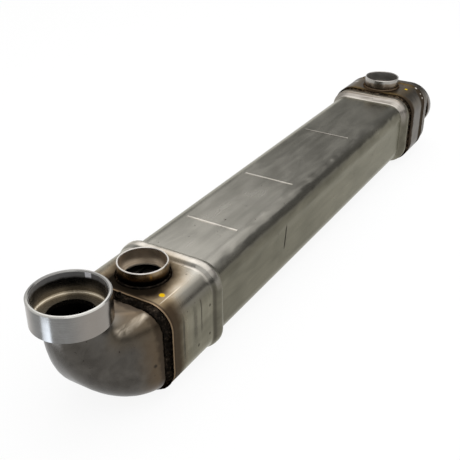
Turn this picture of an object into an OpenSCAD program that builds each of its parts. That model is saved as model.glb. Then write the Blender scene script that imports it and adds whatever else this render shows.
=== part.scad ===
// Exhaust gas recirculation cooler: a pressed stainless shell around a bundle of flat gas tubes,
// with a drawn elbow at one end, a drawn hood at the other and two coolant collars on top.
// The length runs along X from the elbow to the hood, and Z is up.

/* [Shell] */
// Outside width of the shell between its bead and its flare
shell_w = 108.5; // [100:0.5:130]
// Outside height of the shell between its bead and its flare
shell_h = 88; // [80:0.5:110]
// Outside corner radius of the shell
shell_corner = 21; // [17:0.5:24]
// Sheet thickness of the shell
shell_wall = 1.5; // [1:0.1:2]
// Straight length of the shell between its bead and its flare
span_len = 509.5; // [420:0.5:600]
// How far the header at the elbow end stands out past the shell
header_out = 3.5; // [2:0.1:5]
// How far the bead beside the header stands out past the shell
bead_out = 6.5; // [5.5:0.1:8]
// Length of the bead's slope on the header's side
bead_back = 6.5; // [4:0.5:10]
// Length of the bead's flat crest
bead_crest = 7; // [4:0.5:10]
// Length of the bead's slope on the span's side
bead_slope = 8.5; // [5:0.5:12]
// How far the flared end stands out past the shell
flare_out = 6.4; // [4:0.1:8]
// Length of the flare's slope
flare_slope = 12; // [4:0.5:16]
// Straight length of the flared end
flare_len = 20.5; // [16:0.5:40]

/* [Cross seams and baffles] */
// Places of the three cross seams, from the end of the bead
seam_places = [69, 197, 361]; // [30:0.5:410]
// How far a cross seam stops short of the rounded corners
seam_margin = 1; // [0:0.5:10]
// Width of a cross seam's raised bead
seam_w = 3; // [2:0.2:4]
// Height of a cross seam's raised bead
seam_out = 0.8; // [0.4:0.1:1.4]
// Thickness of a baffle plate
baffle_t = 1.5; // [1:0.1:2.5]
// Width of plate between the outer tubes and the coolant gap at one side
baffle_web = 1.2; // [0.8:0.1:3]

/* [Gas tubes] */
// Number of tubes across
tube_columns = 3; // [2:1:3]
// Number of tubes up
tube_rows = 8; // [5:1:8]
// Room from the shell's sides to the outer tubes
bundle_side = 8; // [7:0.25:12]
// Room from the shell's top and bottom to the outer tubes
bundle_top = 5.5; // [5:0.25:9]
// Wall of a tube
tube_wall = 0.5; // [0.4:0.05:0.8]
// Outside corner radius of a tube
tube_corner = 1.6; // [1:0.1:2.4]
// Gap between tubes across
tube_gap_w = 4; // [3:0.25:6]
// Gap between tubes up
tube_gap_h = 3; // [2:0.1:4]
// How far a tube passes each tube plate
tube_stick_out = 1.5; // [0.5:0.25:3]

/* [Tube plates] */
// Thickness of a tube plate
plate_t = 4; // [3:0.25:6]
// How far the elbow's tube plate stays inside the header's outside
plate_inset = 0.6; // [0.2:0.1:1.2]

/* [Coolant collars] */
// Distance from the shell's end to the axis of the collar by the elbow
collar_from_end = 36.6; // [32:0.1:45]
// Distance from the weld of that collar to the shell's bead
collar_to_bead = 3; // [0.5:0.25:20]
// Outside diameter of a collar
collar_od = 50; // [44:0.5:52]
// Bore of a collar
collar_bore = 46.4; // [40:0.2:48]
// Height of a collar above the sheet that it stands on
collar_len = 15.2; // [8:0.2:30]
// Chamfer on both edges of a collar's rim
collar_chamfer = 0.5; // [0.2:0.1:0.7]
// Hole through the sheet under a collar
coolant_hole = 38; // [30:0.5:39]

/* [Port band] */
// Plain width of the band on each side of the collar's weld
band_margin = 0.3; // [0:0.1:8]
// Sheet thickness of the band
band_wall = 2; // [1.5:0.1:2.5]
// How far the band laps over the shell's flared end
band_lap = 8; // [5:0.5:10]
// How far the hood slips into the band
hood_lap = 3; // [2:0.5:6]

/* [Elbow] */
// Distance from the shell's end to the axis of the elbow's ring
elbow_reach = 63.6; // [60:0.1:80]
// Sheet thickness of the elbow and the hood
bonnet_wall = 2; // [1.5:0.1:2.5]
// How far the elbow's rim stands out past the shell
elbow_out = 0.5; // [0.2:0.1:1.5]
// Outside diameter of the elbow's neck
elbow_neck_od = 52.8; // [46:0.2:56]
// Height of the elbow ring's rim above the shell's top
elbow_ring_rise = 40.8; // [38:0.2:55]

/* [Elbow ring] */
// Outside diameter of the elbow's ring
elbow_ring_od = 72.7; // [70:0.1:80]
// Bore of the elbow's ring
elbow_ring_bore = 65.6; // [60:0.2:66]
// Height of the elbow's ring
elbow_ring_len = 26.8; // [20:0.2:30]

/* [Hood] */
// Straight skirt of the hood past the band
hood_skirt = 17.5; // [10:0.5:24]
// Length of the hood's shoulder from the skirt to the neck
hood_shoulder = 22; // [18:0.5:45]
// Length of the hood's straight neck
hood_neck_len = 9; // [5:0.5:14]
// Outside diameter of the hood's neck
hood_neck_od = 64; // [56:0.5:66]
// How far the hood's neck lies to the right of the shell's middle
hood_offset = 20; // [0:0.5:22]

/* [Hood ring] */
// Outside diameter of the hood's ring
hood_ring_od = 72; // [70:0.5:80]
// Bore of the hood's ring
hood_ring_bore = 64; // [60:0.2:66]
// Length of the hood's ring
hood_ring_len = 12; // [9:0.2:30]

/* [Rings and welds] */
// Thickness of a ring's floor
ring_floor = 4.4; // [3:0.2:6]
// How far a ring's floor reaches inside the neck's bore
ring_lip = 2.2; // [0.5:0.1:4]
// Chamfer on a ring's edges
ring_chamfer = 1; // [0.5:0.1:1.4]
// Leg of the weld around a ring's neck
ring_weld = 2.5; // [1.5:0.1:3]
// Leg of the weld around a collar
collar_weld = 3; // [2:0.1:3]
// Length of the weld between the header and the elbow, past the tube plate
elbow_weld = 6; // [4:0.25:8]
// How far the face of that weld bulges past a straight line between its toes
elbow_weld_crown = 1.6; // [1.2:0.1:2]
// Length of the two welds along the band's edges
band_weld = 7; // [4:0.25:9]
// How far the faces of those two welds bulge past a straight line between their toes
band_weld_crown = 0.5; // [0.1:0.1:0.6]

/* [Fits] */
// Clearance around a tube in a plate or a baffle
braze_gap = 0.1; // [0.05:0.05:0.2]
// Clearance around a piece that slides into the shell or the band
slip_gap = 0.15; // [0.1:0.05:0.3]

/* [Hidden] */
// Shape of the elbow: how far its heel and its throat run straight on as a share of its depth, how high
// its heel turns up as a share of its rim, and how early it narrows and rounds off
heel_run = 0.83;
throat_run = 0.3;
heel_lift = 0.13;
narrowing = 0.7;
rounding = 0.73;

// Flat steps in a quarter turn of a drawn bonnet, and sections along it
corner_steps = 9;
elbow_steps = 22;
hood_steps = 16;
slope_steps = 8;
crown_steps = 6;
$fn = 96;

header_len = collar_from_end + collar_od / 2 + collar_weld + collar_to_bead;
span_start = header_len + bead_back + bead_crest + bead_slope;
span_end = span_start + span_len;
shell_end = span_end + flare_slope + flare_len;
band_len = collar_od + 2 * collar_weld + 2 * band_margin;
band_start = shell_end - band_lap;
band_end = band_start + band_len;
band_out = flare_out + band_wall;
band_collar_x = band_start + band_len / 2;

// The hood's skirt starts against its tube plate, inside the band
hood_start = band_end - hood_lap;
hood_plate_x = hood_start - plate_t;
hood_out = flare_out - slip_gap;
skirt_end = band_end + hood_skirt;
neck_start = skirt_end + hood_shoulder;
hood_ring_x = neck_start + hood_neck_len;

elbow_start = -plate_t;
elbow_ring_top = shell_h / 2 + elbow_ring_rise;
elbow_ring_z = elbow_ring_top - elbow_ring_len;
elbow_neck_z = elbow_ring_z - ring_weld;

tube_start = -plate_t - tube_stick_out;
tube_end = hood_start + tube_stick_out;
pack_w = shell_w - 2 * shell_wall - 2 * bundle_side;
pack_h = shell_h - 2 * shell_wall - 2 * bundle_top;
tube_w = (pack_w + tube_gap_w) / tube_columns - tube_gap_w;
tube_h = (pack_h + tube_gap_h) / tube_rows - tube_gap_h;
seam_stations = [for (place = seam_places) span_start + place];
seam_len = shell_w - 2 * shell_corner - 2 * seam_margin;
baffle_out = -shell_wall - slip_gap;

// The origin lies under the middle of the whole length, on the plane that the part stands on
length_start = -elbow_reach - elbow_ring_od / 2;
length_end = hood_ring_x + hood_ring_len;
origin_x = (length_start + length_end) / 2;
base_z = shell_h / 2 + max(bead_out, band_out);

satin = "#a29c92";
heat_tint = "#8f7b5e";
drawn_grey = "#75706a";
machined = "#c4c6c8";
weld_black = "#262321";

TUBES = [for (row = [1 : tube_rows], column = [1 : tube_columns]) str("gas_tube_r", row, "_c", column)];
BAFFLES = [for (i = [1 : len(seam_places)]) str("baffle_", i)];

// A smooth step from 0 to 1
function ease(t) = (1 - cos(180 * t)) / 2;

// Points of a smooth slope along X from one stand-off to another
function slope(x0, x1, out0, out1) = [
    for (i = [0 : slope_steps])
        let (t = i / slope_steps)
        [x0 + (x1 - x0) * t, out0 + (out1 - out0) * ease(t)]
];

// Points of a bulged weld face from one toe to the other
function crown(from, to, bulge) = [
    for (i = [0 : crown_steps])
        let (t = i / crown_steps, side = to - from, normal = [-side[1], side[0]] / norm(side))
        from + side * t + normal * bulge * sin(180 * t)
];

// The same line, pushed inward square to itself and run backward
function lining(path, wall) = [
    for (i = [len(path) - 1 : -1 : 0])
        let (along = path[min(i + 1, len(path) - 1)] - path[max(i - 1, 0)])
        path[i] + [along[1], -along[0]] * wall / norm(along)
];

// A point on a cubic curve
function curve(a, b, c, d, t) =
    a * pow(1 - t, 3) + b * 3 * t * pow(1 - t, 2) + c * 3 * t * t * (1 - t) + d * pow(t, 3);

// A rounded rectangle of points around a middle, in the plane of two directions
function section(middle, across, up, w, h, r) = [
    for (quarter = [0 : 3], i = [0 : corner_steps - 1])
        let (
            turn = quarter * 90 + (i + 0.5) * 90 / corner_steps,
            side_y = (quarter == 0 || quarter == 3) ? 1 : -1,
            side_z = quarter < 2 ? 1 : -1
        )
        middle
            + across * (side_y * (w / 2 - r) + r * cos(turn))
            + up * (side_z * (h / 2 - r) + r * sin(turn))
];

// Moves a piece from the shell's own frame to the part's origin
module placed() {
    translate([-origin_x, 0, base_z])
        children();
}

// Sweeps a profile of [along X, stand-off] points around the shell's rounded outline
module around_shell(profile) {
    flat_w = shell_w - 2 * shell_corner;
    flat_h = shell_h - 2 * shell_corner;
    for (quarter = [0 : 3]) {
        across = quarter % 2 == 0;
        rotate([quarter * 90, 0, 0])
            translate([0, 0, (across ? shell_h : shell_w) / 2])
                rotate([90, 0, 0])
                    linear_extrude(across ? flat_w : flat_h, center = true)
                        polygon(profile);
    }
    for (corner = [[0, 1, -1], [90, 1, 1], [180, -1, 1], [270, -1, -1]])
        translate([0, corner[1] * flat_w / 2, corner[2] * flat_h / 2])
            rotate([corner[0], 0, 0])
                rotate([0, 90, 0])
                    rotate_extrude(angle = 90)
                        polygon([for (p = profile) [shell_corner + p[1], p[0]]]);
}

// A plate of the shell's rounded outline, grown by a stand-off
module plate(x, thickness, out) {
    translate([x, 0, 0])
        rotate([90, 0, 90])
            linear_extrude(thickness)
                rounded(shell_w + 2 * out, shell_h + 2 * out, shell_corner + out);
}

module rounded(w, h, r) {
    square([w - 2 * r, h], center = true);
    square([w, h - 2 * r], center = true);
    for (y = [-1, 1], z = [-1, 1])
        translate([y * (w / 2 - r), z * (h / 2 - r)])
            circle(r);
}

function tube_y(column) = (column - (tube_columns + 1) / 2) * (tube_w + tube_gap_w);
function tube_z(row) = (row - (tube_rows + 1) / 2) * (tube_h + tube_gap_h);

// One bar of a tube's outline, grown by a clearance
module tube_bar(row, column, x0, x1, grow) {
    translate([x0, tube_y(column), tube_z(row)])
        rotate([90, 0, 90])
            linear_extrude(x1 - x0)
                rounded(tube_w + 2 * grow, tube_h + 2 * grow, tube_corner + grow);
}

module tube_slots(x, thickness) {
    for (row = [1 : tube_rows], column = [1 : tube_columns])
        tube_bar(row, column, x - 1, x + thickness + 1, braze_gap);
}

// A thin shell between two stacks of sections
module drawn_shell(outside, inside) {
    n = len(outside[0]);
    last = len(outside) - 1;
    points = concat([for (ring = outside) each ring], [for (ring = inside) each ring]);
    lining_start = n * (last + 1);
    walls = [
        for (k = [0 : last - 1], i = [0 : n - 1])
            let (
                j = (i + 1) % n,
                a = k * n + i,
                b = k * n + j,
                c = a + n,
                d = b + n,
                o = lining_start
            )
            each [[a, b, d], [a, d, c], [o + a, o + d, o + b], [o + a, o + c, o + d]]
    ];
    rims = [
        for (k = [0, last], i = [0 : n - 1])
            let (
                j = (i + 1) % n,
                a = k * n + i,
                b = k * n + j,
                c = lining_start + a,
                d = lining_start + b
            )
            each (k == 0 ? [[a, c, d], [a, d, b]] : [[a, d, c], [a, b, d]])
    ];
    polyhedron(points, concat(walls, rims), convexity = 6);
}

// A pressed shell: the header, a bead, the long span with its cross seams and a flared end
module shell() {
    outside = concat(
        [[0, header_out]],
        slope(header_len, header_len + bead_back, header_out, bead_out),
        slope(span_start - bead_slope, span_start, bead_out, 0),
        slope(span_end, span_end + flare_slope, 0, flare_out),
        [[shell_end, flare_out]]
    );
    color(satin)
        placed() {
            difference() {
                around_shell(concat(outside, lining(outside, shell_wall)));
                translate([collar_from_end, 0, 0])
                    cylinder(h = shell_h, d = coolant_hole);
            }
            for (x = seam_stations)
                cross_seam(x);
        }
}

// A low round bead across the shell's top
module cross_seam(x) {
    radius = (pow(seam_w / 2, 2) + pow(seam_out, 2)) / (2 * seam_out);
    translate([x, 0, shell_h / 2])
        intersection() {
            translate([0, 0, seam_out - radius])
                rotate([90, 0, 0])
                    cylinder(h = seam_len, r = radius, center = true);
            translate([-seam_w / 2, -seam_len / 2, -shell_wall / 2])
                cube([seam_w, seam_len, shell_wall / 2 + seam_out]);
        }
}

// A sleeve that laps the shell's flared end and carries the hood and a collar
module port_band() {
    profile = [
        [band_start, flare_out],
        [band_end, flare_out],
        [band_end, band_out],
        [band_start, band_out]
    ];
    color(heat_tint)
        placed()
            difference() {
                around_shell(profile);
                translate([band_collar_x, 0, 0])
                    cylinder(h = shell_h, d = coolant_hole);
            }
}

module tube_plate(x, out) {
    color(satin)
        placed()
            difference() {
                plate(x, plate_t, out);
                tube_slots(x, plate_t);
            }
}

module gas_tube(row, column) {
    color(machined)
        placed()
            difference() {
                tube_bar(row, column, tube_start, tube_end, 0);
                tube_bar(row, column, tube_start - 1, tube_end + 1, -tube_wall);
            }
}

// A plate that the tubes pass through, open to the coolant at one side and then the other
module baffle(index) {
    x = seam_stations[index - 1] - baffle_t / 2;
    color(satin)
        placed()
            difference() {
                plate(x, baffle_t, baffle_out);
                tube_slots(x, baffle_t);
                mirror([0, index % 2, 0])
                    translate([x - 1, pack_w / 2 + baffle_web, -shell_h])
                        cube([baffle_t + 2, shell_w, 2 * shell_h]);
            }
}

// A collar of machined tube, standing on flat sheet
module collar(x, seat_out) {
    wall = (collar_od - collar_bore) / 2;
    color(machined)
        placed()
            translate([x, 0, shell_h / 2 + seat_out])
                rotate_extrude()
                    translate([collar_bore / 2, 0])
                        polygon([
                            [0, 0],
                            [wall, 0],
                            [wall, collar_len - collar_chamfer],
                            [wall - collar_chamfer, collar_len],
                            [collar_chamfer, collar_len],
                            [0, collar_len - collar_chamfer]
                        ]);
}

// A weld with a bulged face in the corner between a tube and a flat face, around Z
module fillet_weld(tube_d, leg) {
    face = crown([tube_d / 2 + leg, 0], [tube_d / 2, leg], leg / 8);
    rotate_extrude()
        polygon(concat([[tube_d / 2, 0]], face));
}

module collar_weld_bead(x, seat_out) {
    color(weld_black)
        placed()
            translate([x, 0, shell_h / 2 + seat_out])
                fillet_weld(collar_od, collar_weld);
}

// A turned ring with a socket and a floor that sits on a neck, open along +Z
module socket_ring(od, bore, length, neck_od) {
    hole = neck_od - 2 * bonnet_wall - 2 * ring_lip;
    rotate_extrude()
        polygon([
            [hole / 2, 0],
            [od / 2 - ring_chamfer, 0],
            [od / 2, ring_chamfer],
            [od / 2, length - ring_chamfer],
            [od / 2 - ring_chamfer, length],
            [bore / 2 + ring_chamfer, length],
            [bore / 2, length - ring_chamfer],
            [bore / 2, ring_floor],
            [hole / 2, ring_floor]
        ]);
}

// Places a shape drawn along +Z under the elbow ring's floor
module at_elbow_neck() {
    placed()
        translate([-elbow_reach, 0, elbow_ring_z])
            children();
}

// Places a shape drawn along +Z at the hood ring's floor, so that it runs along X
module at_hood_neck() {
    placed()
        translate([hood_ring_x, -hood_offset, 0])
            rotate([0, 90, 0])
                children();
}

// A section of the elbow, from its rim at 0 to the foot of its neck at 1, thinned by an inset
function elbow_section(t, inset) =
    let (
        rim_z = shell_h / 2 + elbow_out,
        neck_r = elbow_neck_od / 2,
        depth = elbow_reach + elbow_start,
        heel = curve(
            [elbow_start, 0, -rim_z],
            [elbow_start - heel_run * depth, 0, -rim_z],
            [-elbow_reach - neck_r, 0, heel_lift * rim_z],
            [-elbow_reach - neck_r, 0, elbow_neck_z], t),
        throat = curve(
            [elbow_start, 0, rim_z],
            [elbow_start - throat_run * depth, 0, rim_z],
            [-elbow_reach + neck_r, 0, rim_z],
            [-elbow_reach + neck_r, 0, elbow_neck_z], t),
        h = norm(throat - heel),
        rim_w = shell_w + 2 * elbow_out,
        w = rim_w + (elbow_neck_od - rim_w) * ease(pow(t, narrowing)),
        rim_share = (shell_corner + elbow_out) / rim_z,
        r = min(w, h) / 2 * (rim_share + (1 - rim_share) * ease(pow(t, rounding)))
    )
    section((heel + throat) / 2, [0, 1, 0], (throat - heel) / h, w - 2 * inset, h - 2 * inset, r - inset);

// All sections of the elbow up to the end of its straight neck
function elbow_sections(inset) =
    let (neck = elbow_neck_od - 2 * inset)
    concat(
        [for (i = [0 : elbow_steps]) elbow_section(i / elbow_steps, inset)],
        [section([-elbow_reach, 0, elbow_ring_z], [0, 1, 0], [1, 0, 0], neck, neck, neck / 2)]
    );

module elbow() {
    color(drawn_grey)
        placed()
            drawn_shell(elbow_sections(0), elbow_sections(bonnet_wall));
}

// A section of the hood at a place along X, thinned by an inset
function hood_section(x, inset) =
    let (
        t = ease(max(0, min(1, (x - skirt_end) / hood_shoulder))),
        skirt_w = shell_w + 2 * hood_out,
        skirt_h = shell_h + 2 * hood_out,
        skirt_r = shell_corner + hood_out,
        w = skirt_w + (hood_neck_od - skirt_w) * t,
        h = skirt_h + (hood_neck_od - skirt_h) * t,
        r = skirt_r + (hood_neck_od / 2 - skirt_r) * t
    )
    section([x, -hood_offset * t, 0], [0, 1, 0], [0, 0, 1], w - 2 * inset, h - 2 * inset, r - inset);

module hood() {
    stations = concat(
        [hood_start],
        [for (i = [0 : hood_steps]) skirt_end + hood_shoulder * i / hood_steps],
        [hood_ring_x]
    );
    color(heat_tint)
        placed()
            drawn_shell(
                [for (x = stations) hood_section(x, 0)],
                [for (x = stations) hood_section(x, bonnet_wall)]
            );
}

// The weld that covers the tube plate's edge and the elbow's rim
module elbow_weld_bead() {
    plate_out = header_out - plate_inset;
    face = crown([0, header_out], [elbow_start - elbow_weld, elbow_out], -elbow_weld_crown);
    color(weld_black)
        placed()
            around_shell(concat(face, [[elbow_start, elbow_out], [elbow_start, plate_out], [0, plate_out]]));
}

// A lap weld from the shell or the hood up to an edge of the band
module lap_weld_bead(edge_x, toe_x, seat_out) {
    bulge = toe_x < edge_x ? band_weld_crown : -band_weld_crown;
    face = crown([toe_x, seat_out], [edge_x, band_out], bulge);
    color(weld_black)
        placed()
            around_shell(concat(face, [[edge_x, seat_out]]));
}

shell();
port_band();
tube_plate(-plate_t, header_out - plate_inset);  // elbow_tube_plate
tube_plate(hood_plate_x, hood_out);  // hood_tube_plate
elbow();
color(machined)  // elbow_ring
        at_elbow_neck()
            socket_ring(elbow_ring_od, elbow_ring_bore, elbow_ring_len, elbow_neck_od);
hood();
color(machined)  // hood_ring
        at_hood_neck()
            socket_ring(hood_ring_od, hood_ring_bore, hood_ring_len, hood_neck_od);
collar(collar_from_end, header_out);  // elbow_collar
collar(band_collar_x, band_out);  // hood_collar
elbow_weld_bead();
lap_weld_bead(band_start, band_start - band_weld, flare_out);  // band_weld_bead
lap_weld_bead(band_end, band_end + band_weld, hood_out);  // hood_weld_bead
color(weld_black)  // elbow_ring_weld_bead
        at_elbow_neck()
            mirror([0, 0, 1])
                fillet_weld(elbow_neck_od, ring_weld);
color(weld_black)  // hood_ring_weld_bead
        at_hood_neck()
            mirror([0, 0, 1])
                fillet_weld(hood_neck_od, ring_weld);
collar_weld_bead(collar_from_end, header_out);  // elbow_collar_weld_bead
collar_weld_bead(band_collar_x, band_out);  // hood_collar_weld_bead
for (i = [1 : len(seam_places)])
    baffle(i);
for (row = [1 : tube_rows], column = [1 : tube_columns])
    gas_tube(row, column);
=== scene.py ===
import math

import bpy
from mathutils import Matrix, Vector


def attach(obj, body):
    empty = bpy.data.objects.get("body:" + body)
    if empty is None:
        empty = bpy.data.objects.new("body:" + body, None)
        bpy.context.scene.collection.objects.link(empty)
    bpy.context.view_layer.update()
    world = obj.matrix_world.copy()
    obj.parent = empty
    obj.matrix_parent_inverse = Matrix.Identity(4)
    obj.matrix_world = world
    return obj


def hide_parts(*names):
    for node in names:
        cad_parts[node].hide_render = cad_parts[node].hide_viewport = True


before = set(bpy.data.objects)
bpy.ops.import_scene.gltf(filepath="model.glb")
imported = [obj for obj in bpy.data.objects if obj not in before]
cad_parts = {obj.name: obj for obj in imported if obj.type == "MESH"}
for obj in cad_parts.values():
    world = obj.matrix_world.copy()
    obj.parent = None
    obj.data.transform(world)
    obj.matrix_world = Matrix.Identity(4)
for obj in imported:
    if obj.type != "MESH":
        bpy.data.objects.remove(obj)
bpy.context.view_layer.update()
bpy.ops.object.select_all(action="DESELECT")

# Sizes of the cooler in millimetres, along the shell from its elbow end
MM = 0.001
ORIGIN_X = 320.375
BASE_Z = 52.4
SHELL_W, SHELL_H, SHELL_CORNER = 108.5, 88.0, 21.0
HEADER_OUT, FLARE_OUT, BAND_OUT = 3.5, 6.4, 8.4
BAND_START, BAND_END = 623.6, 680.2
SHELL_WALL, SHEET = 1.5, 2.0
FLARE_START, FLARE_END, SHELL_END = 598.1, 612.1, 631.575
# The bead's pressed outline: places along the shell and stand-offs
BEAD = (
    (66.2, 3.5), (67.4, 3.56), (68.6, 3.84), (70.0, 4.55), (71.4, 5.26), (72.6, 5.72),
    (74.0, 6.05), (75.8, 6.31), (77.8, 6.46), (79.8, 6.5), (81.6, 6.3), (83.4, 5.55),
    (85.0, 4.2), (86.6, 2.5), (88.0, 1.1), (89.3, 0.3), (90.6, 0.0),
)
SEAM_PLACES, SEAM_W, SEAM_OUT, SEAM_LEN = (158.575, 286.575, 450.575), 3.0, 0.8, 64.5
COOLANT_HOLE = 38.0

ELBOW_START, ELBOW_REACH, ELBOW_OUT = -4.0, 63.6, 0.5
ELBOW_NECK_OD, ELBOW_NECK_Z, ELBOW_RING_Z = 52.8, 55.5, 58.0
HOOD_START, SKIRT_END, NECK_START, HOOD_RING_X = 677.2, 697.7, 719.7, 728.7
# How far the elbow's heel and throat run on before they turn up, and how fast its section changes
HEEL_RUN, HEEL_RISE, THROAT_RUN = 0.83, 0.13, 0.3
WIDTH_PACE, CORNER_PACE = 0.7, 1.1
HOOD_OUT, HOOD_NECK_OD, HOOD_OFFSET = 6.25, 64.0, 20.0
FLARE_STEPS, ELBOW_STEPS, HOOD_STEPS, CROWN_STEPS = 14, 40, 24, 8

COLLAR_OD = 50.0
# Each collar's place along the shell and the stand-off of the face that it stands on
COLLARS = {"elbow": (36.6, HEADER_OUT), "hood": (651.9, BAND_OUT)}
# Radii of the bores
COLLAR_BORE_R, ELBOW_SOCKET_R, HOOD_SOCKET_R = 23.2, 32.8, 32.0
ELBOW_WELD_END, BAND_WELD_LEN = -10.0, 7.0
# How coarse a weld is: its grain, the depth of its ripples and the depth of its lumps
HEADER_RUN, BAND_RUN = (0.6, 0.75, 0.5), (0.7, 0.9, 0.9)
COLLAR_RUN, RING_RUN = (0.5, 0.5, 0.6), (0.5, 0.4, 0.4)
# The curled end of the header's weld: its middle in the part's frame, turn, radius and thickness
CURL_AT, CURL_TURN, CURL_R, CURL_LEG = (-325.2, -3.0, 100.6), (0.5, -0.5, 0), 2.5, 1.1

# Places that the finishes follow, in millimetres in the part's frame
ELBOW_END = -ORIGIN_X
ELBOW_RING_X = ELBOW_END - ELBOW_REACH
BAND_EDGES = (BAND_START - ORIGIN_X, BAND_END - ORIGIN_X)
HOOD_RING_FOOT = HOOD_RING_X - ORIGIN_X
COLLAR_X = {end: x - ORIGIN_X for end, (x, out) in COLLARS.items()}
SEAT_Z = {end: BASE_Z + SHELL_H / 2 + out for end, (x, out) in COLLARS.items()}
SEAMS = [x - ORIGIN_X for x in SEAM_PLACES]
BEAD_CREST, BEAD_GROOVE, BEAD_FOOT = -243, -250.5, -252.3
# Where the header, the shell's sides, its flat top and the flanks of shell and band begin
HEADER_START, SIDE_START, TOP_START, FLANK_START = (-247, -256), (98, 84), (94, 99), (44, 56)
# Where the cross seams stand out of the top and end, and where the flare's slope begins and ends
RIDGE_START, RIDGE_END = (96.2, 96.35), (32, 31)
SLOPE_START, SLOPE_END = (277.0, 280.5), (293, 288)


def place(x, y, z):
    """A point of the shell's own frame, in metres in the part's frame."""
    return Vector((x - ORIGIN_X, y, z + BASE_Z)) * MM


def ease(t):
    """A soft step from 0 to 1."""
    return (1 - math.cos(math.pi * t)) / 2


def ramp(t, fillet=0.22):
    """A straight slope from 0 to 1 with a fillet at each end."""
    t, turned = (1 - t, True) if t > 0.5 else (t, False)
    rise = t * t / (2 * fillet) if t < fillet else t - fillet / 2
    share = rise / (1 - fillet)
    return 1 - share if turned else share


def curve(a, b, c, d, t):
    """A point on the way from a to d, with b and c as handles."""
    s = 1 - t
    return a * s ** 3 + b * 3 * t * s * s + c * 3 * t * t * s + d * t ** 3


# Modelling

X, Y, Z = Vector((1, 0, 0)), Vector((0, 1, 0)), Vector((0, 0, 1))


def join(pieces):
    """Joins pieces into the first of them."""
    bpy.ops.object.select_all(action="DESELECT")
    for piece in pieces:
        piece.select_set(True)
    bpy.context.view_layer.objects.active = pieces[0]
    bpy.ops.object.join()
    return pieces[0]


def rounded_loop(middle, across, up, width, height, corner, steps=9):
    """A rounded rectangle of edges around a point, in the plane of two directions."""
    turn = Matrix((across, up, across.cross(up))).transposed().to_euler()
    bpy.ops.mesh.primitive_plane_add(size=1, location=middle, rotation=turn)
    loop = bpy.context.object
    loop.scale = (width * MM, height * MM, 1)
    bpy.ops.object.transform_apply(location=False, rotation=False, scale=True)
    bpy.ops.object.mode_set(mode="EDIT")
    bpy.ops.mesh.select_all(action="SELECT")
    # A full radius stays just under half a side, so that neighbouring corners don't meet
    radius = min(corner, 0.499 * min(width, height)) * MM
    bpy.ops.mesh.bevel(offset_type="OFFSET", offset=radius, segments=steps, profile=0.5,
                       affect="VERTICES")
    bpy.ops.mesh.delete(type="ONLY_FACE")
    bpy.ops.object.mode_set(mode="OBJECT")
    bpy.ops.object.transform_apply()
    return loop


def loft(name, loops, closed=False):
    """Joins loops of edges and bridges each to the next one."""
    for i, loop in enumerate(loops):
        group = loop.vertex_groups.new(name=f"section_{i}")
        group.add(range(len(loop.data.vertices)), 1.0, "REPLACE")
    piece = join(loops)
    piece.name = piece.data.name = name
    bpy.ops.object.mode_set(mode="EDIT")
    pairs = list(zip(range(len(loops) - 1), range(1, len(loops))))
    if closed:
        pairs.append((len(loops) - 1, 0))
    for pair in pairs:
        bpy.ops.mesh.select_all(action="DESELECT")
        for i in pair:
            bpy.ops.object.vertex_group_set_active(group=f"section_{i}")
            bpy.ops.object.vertex_group_select()
        bpy.ops.mesh.bridge_edge_loops()
    bpy.ops.mesh.select_all(action="SELECT")
    bpy.ops.mesh.normals_make_consistent(inside=False)
    bpy.ops.object.mode_set(mode="OBJECT")
    bpy.ops.object.vertex_group_remove(all=True)
    return piece


def shape(piece, kind, **settings):
    """Adds a modifier to a piece and applies it."""
    bpy.context.view_layer.objects.active = piece
    modifier = piece.modifiers.new(kind.lower(), kind)
    for key, value in settings.items():
        setattr(modifier, key, value)
    bpy.ops.object.modifier_apply(modifier=modifier.name)


def thicken(piece, wall):
    """Gives an open surface its wall, on the inside."""
    shape(piece, "SOLIDIFY", thickness=wall * MM, offset=-1, use_even_offset=True)


def lumps(name, kind, size):
    """A pattern that lifts and sinks a surface, with lumps of a size."""
    texture = bpy.data.textures.new(name, kind)
    texture.noise_scale = size * MM
    return texture


WELD_RIPPLE = lumps("weld_ripple", "VORONOI", 4.5)
WELD_LUMP = lumps("weld_lump", "CLOUDS", 9.0)


def lumpy(piece, grain, ripple, lump):
    """Turns a smooth bead into a run of weld drops."""
    shape(piece, "REMESH", mode="VOXEL", voxel_size=grain * MM)
    shape(piece, "SMOOTH", factor=0.5, iterations=3)
    for texture, depth, level in ((WELD_LUMP, lump, 0.5), (WELD_RIPPLE, -ripple, 0.4)):
        shape(piece, "DISPLACE", texture=texture, texture_coords="LOCAL", strength=depth * MM,
              mid_level=level)
    shape(piece, "SMOOTH", factor=0.4, iterations=1)


def dress(piece, node, finish):
    """Gives a piece its finish and puts it in the place of its solid."""
    bpy.ops.object.select_all(action="DESELECT")
    bpy.context.view_layer.objects.active = piece
    piece.select_set(True)
    bpy.ops.object.shade_smooth_by_angle(angle=math.radians(40))
    shape(piece, "WEIGHTED_NORMAL", keep_sharp=True)
    piece.data.materials.clear()
    piece.data.materials.append(finish)
    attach(piece, "root")
    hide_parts(node)
    piece.select_set(False)


def shell_loop(x, out):
    """The shell's rounded outline at a place along it, grown by a stand-off."""
    width, height = SHELL_W + 2 * out, SHELL_H + 2 * out
    return rounded_loop(place(x, 0, 0), Y, Z, width, height, SHELL_CORNER + out)


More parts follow.
